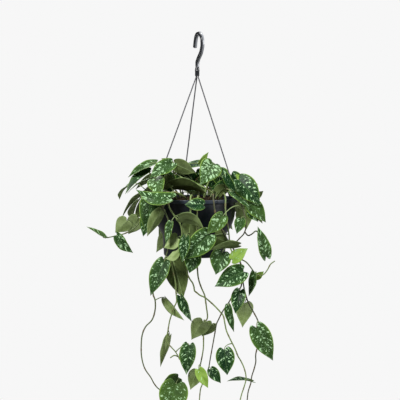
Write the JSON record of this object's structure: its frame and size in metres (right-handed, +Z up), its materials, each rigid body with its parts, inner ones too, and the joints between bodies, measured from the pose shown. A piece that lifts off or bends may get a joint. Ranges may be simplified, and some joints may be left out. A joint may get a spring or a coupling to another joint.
{
  "type": "satin pothos in a hanging pot",
  "caption": "Trailing satin pothos with silver-splashed heart-shaped leaves, growing in a bowl-shaped plastic pot on a hook with wire strands.",
  "frame": {"origin": "the top of the hook's eye, where the hook bears on what it hangs from", "axes": "+Z up, -Y towards the front of the picture, +X to its right"},
  "size_m": [0.3757, 0.2849, 0.8041],
  "materials": {
    "hook": "dark moulded plastic, satin",
    "strand": "thin grey moulded plastic",
    "pot": "dark blue-black plastic with a soft sheen",
    "soil": "loose brown potting soil with bark and fibre",
    "foliage": "deep green satin leaves with silver-green splashes, pale olive undersides and grey-green stems"
  },
  "bodies": {
    "root": {"hook": "hook", "strand_right": "strand", "strand_back": "strand", "strand_left": "strand", "pot": "pot", "soil": "soil", "vine_over": "foliage", "vine_left_crown": "foliage", "vine_middle_crown": "foliage", "vine_inner_crown": "foliage", "vine_right_crown": "foliage", "vine_far_left": "foliage", "vine_loop": "foliage", "vine_olive": "foliage", "vine_thin": "foliage", "vine_cross": "foliage", "vine_fork": "foliage", "vine_tendril": "foliage", "vine_right": "foliage", "vine_back_1": "foliage", "vine_back_2": "foliage", "vine_back_3": "foliage", "vine_back_4": "foliage", "vine_back_5": "foliage", "vine_back_6": "foliage"}
  },
  "joints": []
}
